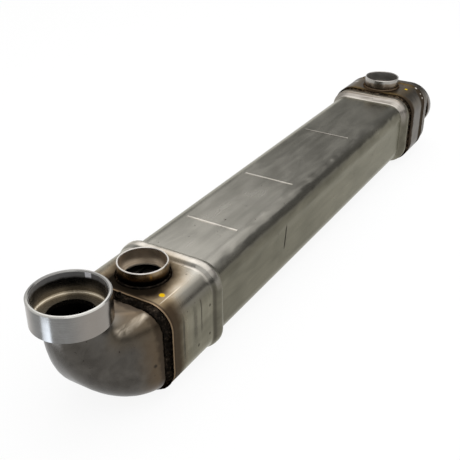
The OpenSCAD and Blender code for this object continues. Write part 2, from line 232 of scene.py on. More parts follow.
def make_shell():
    """The pressed shell: header, bead, span and flare in one sheet, with its seams on top."""
    profile = [(0, HEADER_OUT), *BEAD]
    for i in range(FLARE_STEPS + 1):
        x = FLARE_START + (FLARE_END - FLARE_START) * i / FLARE_STEPS
        profile.append((x, FLARE_OUT * ramp(i / FLARE_STEPS)))
    profile.append((SHELL_END, FLARE_OUT))
    piece = loft("pressed_shell", [shell_loop(x, out) for x, out in profile])
    thicken(piece, SHELL_WALL)
    bpy.ops.mesh.primitive_cylinder_add(vertices=96, radius=COOLANT_HOLE / 2 * MM,
                                        depth=SHELL_CORNER * MM,
                                        location=place(COLLARS["elbow"][0], 0, SHELL_H / 2))
    drill = bpy.context.object
    shape(piece, "BOOLEAN", object=drill, operation="DIFFERENCE", solver="EXACT")
    bpy.data.objects.remove(drill)
    return join([piece] + [cross_seam(x) for x in SEAM_PLACES])


def cross_seam(x):
    """A low round ridge across the shell's top, with rounded ends."""
    half = SEAM_W / 2 * MM
    bpy.ops.mesh.primitive_cylinder_add(vertices=32, radius=half, depth=SEAM_LEN * MM,
                                        location=place(x, 0, SHELL_H / 2),
                                        rotation=(math.pi / 2, 0, 0))
    ridge = bpy.context.object
    ridge.scale = (1, SEAM_OUT / (SEAM_W / 2), 1)
    shape(ridge, "BEVEL", width=0.9 * half, segments=5, limit_method="ANGLE")
    bpy.ops.object.transform_apply()
    return ridge


def elbow_loop(t):
    """A section of the elbow, from its rim at 0 to the foot of its neck at 1."""
    rim_z = SHELL_H / 2 + ELBOW_OUT
    rim_w = SHELL_W + 2 * ELBOW_OUT
    neck_r = ELBOW_NECK_OD / 2
    depth = ELBOW_REACH + ELBOW_START
    heel = curve(
        Vector((ELBOW_START, 0, -rim_z)),
        Vector((ELBOW_START - HEEL_RUN * depth, 0, -rim_z)),
        Vector((-ELBOW_REACH - neck_r, 0, HEEL_RISE * rim_z)),
        Vector((-ELBOW_REACH - neck_r, 0, ELBOW_NECK_Z)), t)
    throat = curve(
        Vector((ELBOW_START, 0, rim_z)),
        Vector((ELBOW_START - THROAT_RUN * depth, 0, rim_z)),
        Vector((-ELBOW_REACH + neck_r, 0, rim_z)),
        Vector((-ELBOW_REACH + neck_r, 0, ELBOW_NECK_Z)), t)
    height = (throat - heel).length
    width = rim_w + (ELBOW_NECK_OD - rim_w) * ease(t ** WIDTH_PACE)
    rim_share = (SHELL_CORNER + ELBOW_OUT) / rim_z
    corner = min(width, height) / 2 * (rim_share + (1 - rim_share) * ease(t ** CORNER_PACE))
    middle = (heel + throat) / 2
    return rounded_loop(place(*middle), Y, (throat - heel).normalized(), width, height, corner)


def make_elbow():
    """The drawn elbow, from its rim to the end of its straight neck."""
    loops = [elbow_loop(i / ELBOW_STEPS) for i in range(ELBOW_STEPS + 1)]
    neck = place(-ELBOW_REACH, 0, ELBOW_RING_Z)
    loops.append(rounded_loop(neck, Y, X, ELBOW_NECK_OD, ELBOW_NECK_OD, ELBOW_NECK_OD / 2))
    piece = loft("drawn_elbow", loops)
    thicken(piece, SHEET)
    return piece


def hood_loop(x):
    """A section of the hood at a place along it."""
    t = ease(max(0.0, min(1.0, (x - SKIRT_END) / (NECK_START - SKIRT_END))))
    width, height = SHELL_W + 2 * HOOD_OUT, SHELL_H + 2 * HOOD_OUT
    corner = SHELL_CORNER + HOOD_OUT
    width += (HOOD_NECK_OD - width) * t
    height += (HOOD_NECK_OD - height) * t
    corner += (HOOD_NECK_OD / 2 - corner) * t
    return rounded_loop(place(x, -HOOD_OFFSET * t, 0), Y, Z, width, height, corner)


def make_hood():
    """The drawn hood, from its skirt to its neck, which lies to one side."""
    places = [HOOD_START]
    for i in range(HOOD_STEPS + 1):
        places.append(SKIRT_END + (NECK_START - SKIRT_END) * i / HOOD_STEPS)
    places.append(HOOD_RING_X)
    piece = loft("drawn_hood", [hood_loop(x) for x in places])
    thicken(piece, SHEET)
    return piece


def seam_bead(name, toes, foot, bulge):
    """A bead swept around the shell, from one toe over its crown to the other and back under."""
    (x0, out0), (x1, out1) = toes
    crown = []
    for i in range(CROWN_STEPS + 1):
        t = i / CROWN_STEPS
        out = out0 + (out1 - out0) * t + bulge * math.sin(math.pi * t)
        crown.append((x0 + (x1 - x0) * t, out))
    profile = crown + [(x1, foot), ((x0 + x1) / 2, foot), (x0, foot)]
    return loft(name, [shell_loop(x, out) for x, out in profile], closed=True)


def torus(name, middle, turn, radius, leg, around=96, across=16):
    """A ring of round section."""
    bpy.ops.mesh.primitive_torus_add(location=middle, rotation=turn, major_segments=around,
                                     minor_segments=across, major_radius=radius * MM,
                                     minor_radius=leg * MM)
    piece = bpy.context.object
    piece.name = piece.data.name = name
    bpy.ops.object.transform_apply()
    return piece


def ring_bead(name, middle, axis, radius, leg):
    """A round bead in the corner between a tube and a flat face."""
    return torus(name, middle, axis.to_track_quat("Z", "Y").to_euler(), radius, leg)


def make_welds():
    """All the weld beads, each with the node that it replaces."""
    toes = ((0.2, HEADER_OUT - 0.1), (ELBOW_WELD_END + 1, ELBOW_OUT + 0.2))
    bead = seam_bead("header_weld", toes, foot=-0.6, bulge=1.7)
    curl = torus("weld_curl", Vector(CURL_AT) * MM, CURL_TURN, CURL_R, CURL_LEG,
                 around=32, across=12)
    welds = [(join([bead, curl]), "elbow_weld_bead", HEADER_RUN)]

    toes = ((BAND_START - BAND_WELD_LEN, FLARE_OUT), (BAND_START + 0.5, BAND_OUT - 0.7))
    bead = seam_bead("band_weld", toes, foot=FLARE_OUT - 0.8, bulge=0.4)
    welds.append((bead, "band_weld_bead", BAND_RUN))
    toes = ((BAND_END - 0.5, BAND_OUT - 0.6), (BAND_END + 4.8, HOOD_OUT + 0.2))
    bead = seam_bead("hood_weld", toes, foot=HOOD_OUT - 0.8, bulge=0.7)
    welds.append((bead, "hood_weld_bead", BAND_RUN))

    for end, (x, out) in COLLARS.items():
        middle = place(x, 0, SHELL_H / 2 + out + 0.4)
        bead = ring_bead(f"{end}_collar_weld", middle, Z, COLLAR_OD / 2 + 0.8, leg=1.9)
        welds.append((bead, f"{end}_collar_weld_bead", COLLAR_RUN))
    middle = place(-ELBOW_REACH, 0, ELBOW_RING_Z - 0.8)
    bead = ring_bead("elbow_ring_weld", middle, Z, ELBOW_NECK_OD / 2 + 0.5, leg=1.6)
    welds.append((bead, "elbow_ring_weld_bead", RING_RUN))
    middle = place(HOOD_RING_X - 0.8, -HOOD_OFFSET, 0)
    bead = ring_bead("hood_ring_weld", middle, X, HOOD_NECK_OD / 2 + 0.5, leg=1.6)
    welds.append((bead, "hood_ring_weld_bead", RING_RUN))

    for bead, node, run in welds:
        lumpy(bead, *run)
    return [(bead, node) for bead, node, run in welds]


# Finishes

class Wire:
    """A value on its way through a set of nodes. Sums on it add Math nodes."""

    def __init__(self, nodes, socket):
        self.nodes = nodes
        self.socket = socket

    def sum(self, operation, *values):
        return self.nodes.add("Math", {"operation": operation}, dict(enumerate(values)))

    def __add__(self, other):
        return self.sum("ADD", self, other)

    def __radd__(self, other):
        return self.sum("ADD", other, self)

    def __sub__(self, other):
        return self.sum("SUBTRACT", self, other)

    def __rsub__(self, other):
        return self.sum("SUBTRACT", other, self)

    def __mul__(self, other):
        return self.sum("MULTIPLY", self, other)

    def __pow__(self, other):
        return self.sum("POWER", self, other)

    def __abs__(self):
        return self.sum("ABSOLUTE", self)

    def most(self, *others):
        """The greatest of some values."""
        wire = self
        for other in others:
            wire = self.sum("MAXIMUM", wire, other)
        return wire

    def fade(self, start, end):
        """A smooth step from 0 at start to 1 at end."""
        low, high, first, last = start, end, 0.0, 1.0
        if start >= end:
            low, high, first, last = end, start, 1.0, 0.0
        return self.nodes.add("MapRange", {"interpolation_type": "SMOOTHSTEP"}, {
            "Value": self, "From Min": low, "From Max": high, "To Min": first, "To Max": last})


class Nodes:
    """The nodes of a material or of the world."""

    def __init__(self, owner):
        owner.use_nodes = True
        self.tree = owner.node_tree

    def add(self, kind, settings=None, sockets=None, out=0):
        """Adds any node: its settings are set first, then its sockets take values or links."""
        node = self.tree.nodes.new("ShaderNode" + kind)
        for key, value in (settings or {}).items():
            setattr(node, key, value)
        for key, value in (sockets or {}).items():
            if isinstance(value, Wire):
                self.tree.links.new(value.socket, node.inputs[key])
            else:
                node.inputs[key].default_value = value
        return Wire(self, node.outputs[out]) if node.outputs else node


class Finish(Nodes):
    """A material whose places are the part's own, in millimetres."""

    def __init__(self, name, **constants):
        self.material = bpy.data.materials.new(name)
        super().__init__(self.material)
        self.shader = self.tree.nodes["Principled BSDF"]
        for key, value in constants.items():
            self.shader.inputs[key.replace("_", " ")].default_value = value
        where = self.add("TexCoord", out="Object")
        self.point = self.add("VectorMath", {"operation": "SCALE"}, {0: where, "Scale": 1 / MM})
        self.x, self.y, self.z = [
            self.add("SeparateXYZ", None, {0: self.point}, axis) for axis in "XYZ"]
        self.colour = None

    def cloud(self, size, detail=2.0, rough=0.5, twist=0.0, offset=(0, 0, 0)):
        """Soft noise whose grains have a size in millimetres, along X, Y and Z."""
        size = size if isinstance(size, tuple) else (size, size, size)
        scale = tuple(1 / s for s in size)
        spread = self.add("Mapping", None, {0: self.point, "Location": offset, "Scale": scale})
        return self.add("TexNoise", None, {"Vector": spread, "Scale": 1.0, "Detail": detail,
                                           "Roughness": rough, "Distortion": twist})

    def mix(self, first, second, share, way="MIX"):
        colours = [c if isinstance(c, Wire) else (*c, 1) for c in (first, second)]
        settings = {"data_type": "RGBA", "blend_type": way, "clamp_factor": True}
        return self.add("Mix", settings, {0: share, 6: colours[0], 7: colours[1]}, 2)

    def paint(self, colour, share):
        """Lays a colour over the finish so far, as far as the share says."""
        self.colour = self.mix(self.colour, colour, share)

    def radius(self, x, y):
        """Distance from an upright axis."""
        dx, dy = self.x - x, self.y - y
        return (dx * dx + dy * dy) ** 0.5

    def spot(self, x, y, z, size, soft=0.6):
        """A round patch about a point."""
        dx, dy, dz = self.x - x, self.y - y, self.z - z
        away = (dx * dx + dy * dy + dz * dz) ** 0.5
        return away.fade(size * (1 + soft), size * (1 - soft))

    def bump(self, height, depth, strength, under=None):
        sockets = {"Height": height, "Distance": depth * MM, "Strength": strength}
        if under is not None:
            sockets["Normal"] = under
        return self.add("Bump", None, sockets)

    def close(self, rough, relief, **more):
        """Links the colour, the roughness, the relief and any other input to the shader."""
        inputs = {"Base Color": self.colour, "Roughness": rough, "Normal": relief, **more}
        for key, wire in inputs.items():
            self.tree.links.new(wire.socket, self.shader.inputs[key])
        return self.material


class Turned(Finish):
    """Turned steel with fine tool lines around an axis along Z or X."""

    def __init__(self, name, along, middle):
        super().__init__(name, Metallic=1.0)
        self.length = self.z if along == "z" else self.x
        du, dv = (self.x, self.y) if along == "z" else (self.y, self.z)
        du, dv = du - middle[0], dv - middle[1]
        self.reach = (du * du + dv * dv) ** 0.5
        tool = self.add("TexNoise", {"noise_dimensions": "1D"}, {
            "W": self.length + self.reach, "Scale": 1.6, "Detail": 3.0, "Roughness": 0.7})
        self.wave = self.cloud(9, detail=3, rough=0.6, twist=0.4)
        self.tone = (tool * 0.6 + self.wave * 0.4).fade(0.22, 0.78)
        self.lines = self.bump(tool, depth=0.015, strength=0.4)

    def inside(self, bore):
        """1 within a bore of a radius, its wall included."""
        return self.reach.fade(bore + 0.4, bore - 0.1)


# Colours of the shell: its dark and light grain on the top, and a darker copy on the sides as
# painted shade, then its painted highlights, painted shade, heat tint and marks
SATIN_TOP = (0.224, 0.215, 0.192), (0.282, 0.270, 0.243)
SATIN_SIDE_SHADED = (0.092, 0.086, 0.065), (0.178, 0.166, 0.128)
SEAM_PAINTED_SHADE, RIDGE_HIGHLIGHT = (0.075, 0.070, 0.062), (0.72, 0.665, 0.60)
FLARE_HIGHLIGHT_GRAIN = (0.150, 0.132, 0.115), (0.340, 0.315, 0.286)
HEADER_BEND_SHADE, SPAN_BEND_SHADE = (0.165, 0.154, 0.131), (0.100, 0.095, 0.084)
GROOVE_SHADE = (0.050, 0.045, 0.035)
STRAW, BROWN, CHAR = (0.205, 0.140, 0.066), (0.034, 0.022, 0.013), (0.008, 0.006, 0.004)
LIP_SHADE, LIP_EDGE = (0.030, 0.021, 0.014), (0.200, 0.140, 0.085)
FLARE_TINT, FLARE_SCALE_AND_SHADE = (0.105, 0.076, 0.048), (0.030, 0.023, 0.016)
SEAT_PAINTED_LIGHT = (0.74, 0.71, 0.66)
PRESS, CREASE_SHADE, SPECK = (0.045, 0.040, 0.032), (0.012, 0.010, 0.009), (0.03, 0.025, 0.02)
CORNER_HIGHLIGHT, HEADER_PAINT = (0.50, 0.44, 0.36), (0.60, 0.37, 0.008)

# Upright press marks on the header's side: the place along X, the sway, the half-width from soft
# to sharp, the heights over which the mark comes in and goes out, and its strength
PRESS_MARKS = (
    (-302, 2, (2.4, 0.2), (26, 40), (88, 70), 0.8),
    (-283, 3, (4.2, 0.6), (36, 52), (90, 70), 0.55),
    (-272.6, 1.2, (1.5, 0.1), (41, 55), (92, 82), 0.9),
)
HEADER_SPECKS = ((-278.4, -58, 34), (-257.6, -58, 68.4), (-258.5, -58, 35.4))
HEADER_DOT = (-304.2, -36.1, 99.9)
# The leaning crease on the near side, whose dark line is painted shade, and the painted highlight
# along the header's top corner
CREASE_X, CREASE_Z, CREASE_LEAN = -92.5, 61, 0.17
CORNER_HIGHLIGHT_Y = -41.5


def paint_ridge_highlights(f, tone):
    """Paints highlights on the cross seams, the bead's crest and the flare's slope, and shade on
    the third seam.
    """
    ridge = f.z.fade(*RIDGE_START) * abs(f.y).fade(*RIDGE_END)
    seams = [abs(f.x - x).fade(2.5, 1.5) * ridge for x in SEAMS]
    crest = abs(f.x - BEAD_CREST).fade(5, 2.5).most(abs(f.x - BEAD_FOOT).fade(1.6, 0.5))
    crest = crest * f.z.fade(74, 97)
    # Painted shade dims the third seam, then painted highlights brighten the seams and the bead's
    # crest and foot
    f.paint(SEAM_PAINTED_SHADE, seams[2] * 0.8)
    ridge_highlights = seams[0].most(seams[1] * 0.5, seams[2] * 0.25, crest)
    f.paint(RIDGE_HIGHLIGHT, ridge_highlights * (0.26 + tone * 0.45))
    # The flare's slope takes a lighter grain as a painted highlight, darker towards its upper end
    flare_highlight = f.x.fade(*SLOPE_START) * f.x.fade(*SLOPE_END) * f.z.fade(62, 92)
    streak = f.cloud((2.2, 42, 42), twist=0.4).fade(0.32, 0.62)
    streak = streak * (1 - f.x.fade(284, 291) * 0.6)
    f.paint(f.mix(*FLARE_HIGHLIGHT_GRAIN, streak), flare_highlight * 0.9)
    return ridge_highlights, flare_highlight


def shade_bends(f, header):
    """Paints shade on the bends that turn away from the light, and in the groove beside the bead.
    """
    f.paint(HEADER_BEND_SHADE, header * f.y.fade(-38, -46) * f.z.fade(80, 90) * 0.8)
    turn = f.y.fade(-33, -40) * f.z.fade(82, 91) * f.x.fade(160, 20) * (1 - header)
    f.paint(SPAN_BEND_SHADE, turn * 0.55)
    groove = abs(f.x - BEAD_GROOVE).fade(3.2, 0.6) * f.z.fade(94, 78) * f.z.fade(14, 26)
    f.paint(GROOVE_SHADE, groove * 0.65)


def tint_shell(f, wave, low, flat):
    """Lays heat tint, from straw to char, by the weld, around the collar and on the flare, with
    scale that reaches further along the flanks as painted shade, and paints the sheet in the
    collar's bore light.
    """
    fray = (wave - 0.5) * 6
    lip = f.x - ELBOW_END
    edge = lip + fray
    bore = f.radius(COLLAR_X["elbow"], 0)
    lean = ((COLLAR_X["elbow"] - f.x) * 0.95 - f.y * 0.15).fade(6, 28)
    around = bore + fray + 2 - lean * 10.5
    up = flat * bore.fade(23.4, 24.6)
    straw = edge.fade(36, 9).most(around.fade(54, 31) * up)
    f.paint(STRAW, straw * (0.75 - low * 0.5))
    brown = (edge.fade(25, 9) * (1 - flat * 0.6)).most(around.fade(43, 28) * up)
    f.paint(BROWN, brown * 0.92)
    char = around.fade(32.5, 27) * up
    f.paint(CHAR, char * 0.92)
    f.paint(LIP_SHADE, lip.fade(4.5, 2.5) * 0.8)
    f.paint(LIP_EDGE, lip.fade(2.0, 1.2) * 0.85)
    # Along the flanks the tint and scale reach further from the weld, partly as painted shade
    flank = abs(f.y).fade(*FLANK_START)
    reach = f.x - flank * 5 + (wave - 0.5) * 9
    f.paint(FLARE_TINT, reach.fade(284, 293) * (0.55 - flank * 0.3))
    scale = (reach + flank * 4).fade(290, 298)
    f.paint(FLARE_SCALE_AND_SHADE, scale * 0.95)
    # The sheet inside the collar's bore is painted light
    f.paint(SEAT_PAINTED_LIGHT, bore.fade(COLLAR_BORE_R + 0.4, COLLAR_BORE_R) * flat * 0.9)
    return straw, brown, char, scale


def mark_shell(f, wave, header, flat):
    """Adds press marks on the header's side, the painted shade of a crease, specks, a painted
    highlight along the header's top corner and a paint dot.
    """
    press = 0
    for x, sway, width, rise, fall, strength in PRESS_MARKS:
        mark = (abs(f.x - x) + (wave - 0.5) * sway).fade(*width)
        press = press + mark * f.z.fade(*rise) * f.z.fade(*fall) * strength
    press = press * (f.y.fade(-55.5, -57) * header)
    f.paint(PRESS, press)
    # A dark line painted as the shade of a crease
    crease_shade = abs(f.x - CREASE_X - (f.z - CREASE_Z) * CREASE_LEAN) + (wave - 0.5)
    crease_shade = crease_shade.fade(2.2, 0.5) * f.z.fade(44, 52) * f.z.fade(78, 70) * f.y.fade(-53, -54)
    f.paint(CREASE_SHADE, crease_shade * 0.95)
    speck = f.cloud(3.4, detail=0).fade(0.83, 0.87)
    speck = speck.most(*[f.spot(*middle, size=1.5) for middle in HEADER_SPECKS])
    f.paint(SPECK, speck * 0.8)
    # A thin painted highlight along the header's top corner
    corner_highlight = (abs(f.y - CORNER_HIGHLIGHT_Y) + (wave - 0.5)).fade(0.7, 0.1)
    corner_highlight = corner_highlight * f.x.fade(-318, -312) * f.x.fade(-278, -288) * flat
    f.paint(CORNER_HIGHLIGHT, corner_highlight * 0.5)
    dot = f.spot(*HEADER_DOT, size=2.7, soft=0.3)
    f.paint(HEADER_PAINT, dot)
    return press, crease_shade, speck, dot


def satin_finish():
    """Pressed stainless sheet, drawn lengthwise, with heat tint beside its welds."""
    f = Finish("satin_steel", Specular_IOR_Level=0.0, Specular_Tint=(0.88, 0.87, 0.80, 1))
    header = f.x.fade(*HEADER_START)
    low = f.z.fade(*SIDE_START)
    flat = f.z.fade(*TOP_START)
    drawn = f.cloud((210, 6, 6), detail=3, rough=0.6)
    upright = f.cloud((3.5, 34, 34), detail=3, rough=0.6, twist=0.3)
    run = drawn * (1 - header) + upright * header
    hair = f.cloud((70, 0.8, 0.8))
    mottle = f.cloud((52, 24, 24), twist=0.6)
    smear = f.cloud((90, 26, 26), twist=1.2, offset=(13, 5, 7))
    wave = f.cloud(9, detail=3, rough=0.6, twist=0.3)

    tone = (run * 0.20 + hair * 0.06 + mottle * 0.36 + smear * 0.38).fade(0.32, 0.68)
    # The sides take a darker copy of the grain as painted shade, multiplied darker along the span
    # and lighter on the header
    dark, light = [f.mix(top, side, low) for top, side in zip(SATIN_TOP, SATIN_SIDE_SHADED)]
    shade = 0.86 + header * 0.36 + f.x.fade(0, 250) * 0.04
    side_shade = f.add("CombineColor", None, {0: shade, 1: shade, 2: shade})
    f.colour = f.mix(f.mix(dark, light, tone), side_shade, low, "MULTIPLY")
    ridge_highlights, flare_highlight = paint_ridge_highlights(f, tone)
    shade_bends(f, header)
    straw, brown, char, scale = tint_shell(f, wave, low, flat)
    press, crease_shade, speck, dot = mark_shell(f, wave, header, flat)

    rough = 0.18 + tone * 0.10 + ridge_highlights * 0.08 + flare_highlight * 0.12
    rough = rough + straw * 0.05 + (dot + scale) * 0.25 + brown * 0.1
    relief = f.bump(hair * 0.6 + run * 0.4, depth=0.02, strength=0.2)
    swell = mottle * 0.6 + smear * 0.4 + press * -0.3
    relief = f.bump(swell, depth=0.6, strength=0.28, under=relief)
    bend = f.y.fade(-30, -42) * f.z.fade(66, 80) * (1 - header)
    dents = f.cloud((44, 18, 18), detail=1, twist=0.5, offset=(5, 2, 8))
    relief = f.bump(dents * bend, depth=2.4, strength=0.55, under=relief)
    matt = dot.most(scale, char, brown * 0.8, crease_shade, speck * 0.7, press * 0.7)
    return f.close(rough, relief, Metallic=1 - matt * 0.9)


# Colours of the port band and the hood
TINTED_GRAIN = (0.048, 0.038, 0.026), (0.106, 0.087, 0.061)
TINTED_TOP, TINTED_EDGE = (0.038, 0.030, 0.020), (0.080, 0.050, 0.026)
TINTED_SCALE_AND_SHADE = (0.030, 0.022, 0.015)
TINTED_STRAW, TINTED_BROWN = (0.150, 0.100, 0.038), (0.050, 0.034, 0.022)
TINTED_BORE_PAINTED_LIGHT, DROP_GLINT, BAND_PAINT = (0.45, 0.42, 0.37), (0.50, 0.475, 0.435), (0.62, 0.42, 0.02)
# Bright weld drops painted light as their glints, each with its size, and the paint dot
BAND_DROP_GLINTS = (
    (335.4, 42.2, 103.4, 2.6), (357.2, -47.2, 101.2, 1.7),
    (355.4, -56.0, 94.4, 1.1), (354.6, -59.4, 88.6, 1.3),
)
BAND_DOT = (336, -38.5, 104.4)


def tinted_finish():
    """Sheet browned by the heat of the welds on both of its edges, with scale that reaches further
    along the flanks as painted shade, the sheet in the collar's bore painted light and weld drops
    painted bright as glints.
    """
    f = Finish("tinted_steel", Specular_IOR_Level=0.0)
    mottle = f.cloud(17, detail=4, rough=0.6, twist=0.8)
    drawn = f.cloud((3.5, 60, 60), detail=3, rough=0.6)
    tone = mottle * 0.65 + drawn * 0.35
    f.colour = f.mix(*TINTED_GRAIN, tone.fade(0.35, 0.65))
    f.paint(TINTED_TOP, f.z.fade(94, 103) * 0.85)
    wave = f.cloud(7, detail=3, rough=0.6, twist=0.3)
    fray = (wave - 0.5) * 5
    flank = abs(f.y).fade(*FLANK_START)
    start = f.x - BAND_EDGES[0] + fray
    after = abs(f.x - BAND_EDGES[1]) + fray
    f.paint(TINTED_EDGE, start.fade(15, 3).most(after.fade(13, 4)) * 0.6)
    # Along the flanks the scale reaches further from both welds, partly as painted shade
    scale = (start - flank * 6 + fray).fade(7, 0)
    scale = scale.most((after - flank * 8).fade(9, 4) * f.x.fade(366, 362))
    f.paint(TINTED_SCALE_AND_SHADE, scale * 0.9)
    bore = f.radius(COLLAR_X["hood"], 0)
    around = bore + fray
    flat = f.z.fade(98, 104)
    f.paint(TINTED_STRAW, around.fade(56, 40) * flat * 0.55)
    f.paint(TINTED_BROWN, around.fade(37, 27) * flat * 0.8)
    # The sheet inside the collar's bore is painted light
    f.paint(TINTED_BORE_PAINTED_LIGHT, bore.fade(COLLAR_BORE_R + 0.4, COLLAR_BORE_R) * flat * 0.9)
    # Weld drops painted bright as glints
    drop_glints = [f.spot(*drop_glint) for drop_glint in BAND_DROP_GLINTS]
    f.paint(DROP_GLINT, drop_glints[0].most(*drop_glints[1:]))
    dot = f.spot(*BAND_DOT, size=2.2, soft=0.3)
    f.paint(BAND_PAINT, dot)
    rough = 0.27 + tone * 0.16 + (dot + scale) * 0.25
    relief = f.bump(mottle, depth=0.5, strength=0.5)
    return f.close(rough, relief, Metallic=1 - dot.most(scale) * 0.9)


# Colours of the elbow, its painted shoulder highlight, its large speck and the leaning painted
# highlight line on its shoulder
DRAWN_GRAIN = (0.054, 0.049, 0.043), (0.102, 0.094, 0.083)
DRAWN_SHOULDER_HIGHLIGHT, DRAWN_TINT = (0.098, 0.079, 0.056), (0.108, 0.072, 0.038)
DRAWN_EDGE = (0.030, 0.021, 0.014)
DRAWN_HIGHLIGHT_LINE, DRAWN_SPECK = (0.58, 0.51, 0.41), (0.02, 0.017, 0.014)
ELBOW_SPECK = (-338.6, -50.6, 47.4)
HIGHLIGHT_LINE_X, HIGHLIGHT_LINE_Y, HIGHLIGHT_LINE_LEAN = -358, -29.3, 0.30


def drawn_finish():
    """Deep-drawn sheet, dulled grey-brown by heat, with painted highlights on its shoulder."""
    f = Finish("drawn_steel", Metallic=1.0)
    mottle = f.cloud(30, detail=4, rough=0.55, twist=0.7)
    flow = f.cloud((34, 7, 13), detail=3, rough=0.55, twist=0.8)
    grain = f.cloud(0.9, rough=0.6)
    tone = (mottle * 0.54 + flow * 0.38 + grain * 0.08).fade(0.28, 0.72)
    f.colour = f.mix(*DRAWN_GRAIN, tone)
    wave = f.cloud(8, detail=3, rough=0.6, twist=0.3)
    edge = ELBOW_END + ELBOW_WELD_END - f.x + (wave - 0.5) * 9
    # The shoulder is painted lighter and warmer as a highlight
    shoulder_highlight = f.z.fade(68, 88) * f.z.fade(98, 92) * edge.fade(52, 32)
    f.paint(DRAWN_SHOULDER_HIGHLIGHT, shoulder_highlight * (0.5 + flow * 0.5))
    f.paint(DRAWN_TINT, edge.fade(28, 6) * (0.6 - shoulder_highlight * 0.3))
    f.paint(DRAWN_EDGE, edge.fade(7, 1) * 0.75)
    # A thin leaning painted highlight along the shoulder
    across = f.y + (f.x - HIGHLIGHT_LINE_X) * HIGHLIGHT_LINE_LEAN - HIGHLIGHT_LINE_Y
    shoulder = f.z.fade(82, 87) * f.x.fade(-366, -358) * f.x.fade(-329, -333)
    highlight_line = abs(across + (wave - 0.5) * 3).fade(4.5, 0.5) * shoulder * flow.fade(0.30, 0.62)
    f.paint(DRAWN_HIGHLIGHT_LINE, highlight_line * 0.5)
    speck = f.cloud(4.0, detail=0, offset=(3, 1, 9)).fade(0.85, 0.88)
    speck = speck.most(f.spot(*ELBOW_SPECK, size=1.7))
    f.paint(DRAWN_SPECK, speck * 0.85)
    relief = f.bump(grain, depth=0.02, strength=0.4)
    relief = f.bump(mottle, depth=0.6, strength=0.4, under=relief)
    return f.close(0.25 + tone * 0.13, relief)


# Colours of the collars: dark and light grain of wall and of bore, whose grain is painted light,
# and the heat tint at the foot
COLLAR_WALL = {"elbow": ((0.21, 0.150, 0.085), (0.40, 0.300, 0.185)),
               "hood": ((0.26, 0.247, 0.226), (0.44, 0.420, 0.390))}
COLLAR_BORE_PAINTED_LIGHT = {"elbow": ((0.36, 0.290, 0.222), (0.57, 0.480, 0.385)),
                 "hood": ((0.40, 0.390, 0.375), (0.62, 0.605, 0.580))}
COLLAR_FOOT = {"elbow": (0.110, 0.058, 0.018), "hood": (0.150, 0.105, 0.062)}
COLLAR_SCALE, COLLAR_RIM = (0.006, 0.005, 0.004), (0.44, 0.415, 0.385)
# How far the weld's scale reaches up each collar, and where a collar's rim begins
SCALE_HEIGHT = {"elbow": 6.0, "hood": 1.5}
COLLAR_RIM_START = (14.4, 14.7)


def collar_finish(end):
    """A collar: light rim, a wall with heat tint at its foot, scale above the weld, and a bore
    painted light.
    """
    f = Turned(f"{end}_collar_steel", "z", (COLLAR_X[end], 0))
    f.colour = f.mix(*COLLAR_WALL[end], f.tone)
    height = f.length - SEAT_Z[end] + (f.wave - 0.5) * 5
    f.paint(COLLAR_FOOT[end], height.fade(11.5, 8.5) * 0.75)
    f.paint(COLLAR_SCALE, height.fade(SCALE_HEIGHT[end] + 3, SCALE_HEIGHT[end] - 1))
    # The bore is painted lighter than the wall
    inside = f.inside(COLLAR_BORE_R)
    f.paint(f.mix(*COLLAR_BORE_PAINTED_LIGHT[end], f.tone), inside)
    f.paint(COLLAR_RIM, (f.length - SEAT_Z[end]).fade(*COLLAR_RIM_START))
    return f.close(0.17 + f.tone * 0.1 + inside * 0.17, f.lines)


# Colours of the elbow's ring: its wall, with painted reflections warmer to both sides, its socket,
# with painted shade, reflections and highlights, and its rim, with a painted highlight
RING_GRAIN = (0.145, 0.143, 0.138), (0.222, 0.220, 0.214)
RING_SIDE_REFLECTION = (0.290, 0.258, 0.226)
SOCKET_SHADED_GRAIN = (0.066, 0.061, 0.055), (0.120, 0.112, 0.102)
SOCKET_FOOT_REFLECTION = (0.320, 0.272, 0.205)
MOUTH, MOUTH_GLINT = (0.155, 0.153, 0.152), (0.95, 0.95, 1.00)
SOCKET_FLOOR, SOCKET_LEDGE_HIGHLIGHT = (0.330, 0.288, 0.222), (0.80, 0.75, 0.66)
RING_RIM_AND_HIGHLIGHT = (0.200, 0.195, 0.185), (0.430, 0.420, 0.395)
# Heights at which the socket's foot, mouth and floor and the ring's rim begin
FOOT_Z, MOUTH_Z = (125, 117.5), (129.5, 132.5)
SOCKET_FLOOR_Z, RIM_Z = (117.4, 116.4), (136.0, 136.5)
# The direction across the photograph's view, in the plan
VIEW_X, VIEW_Y = 0.51, -0.86


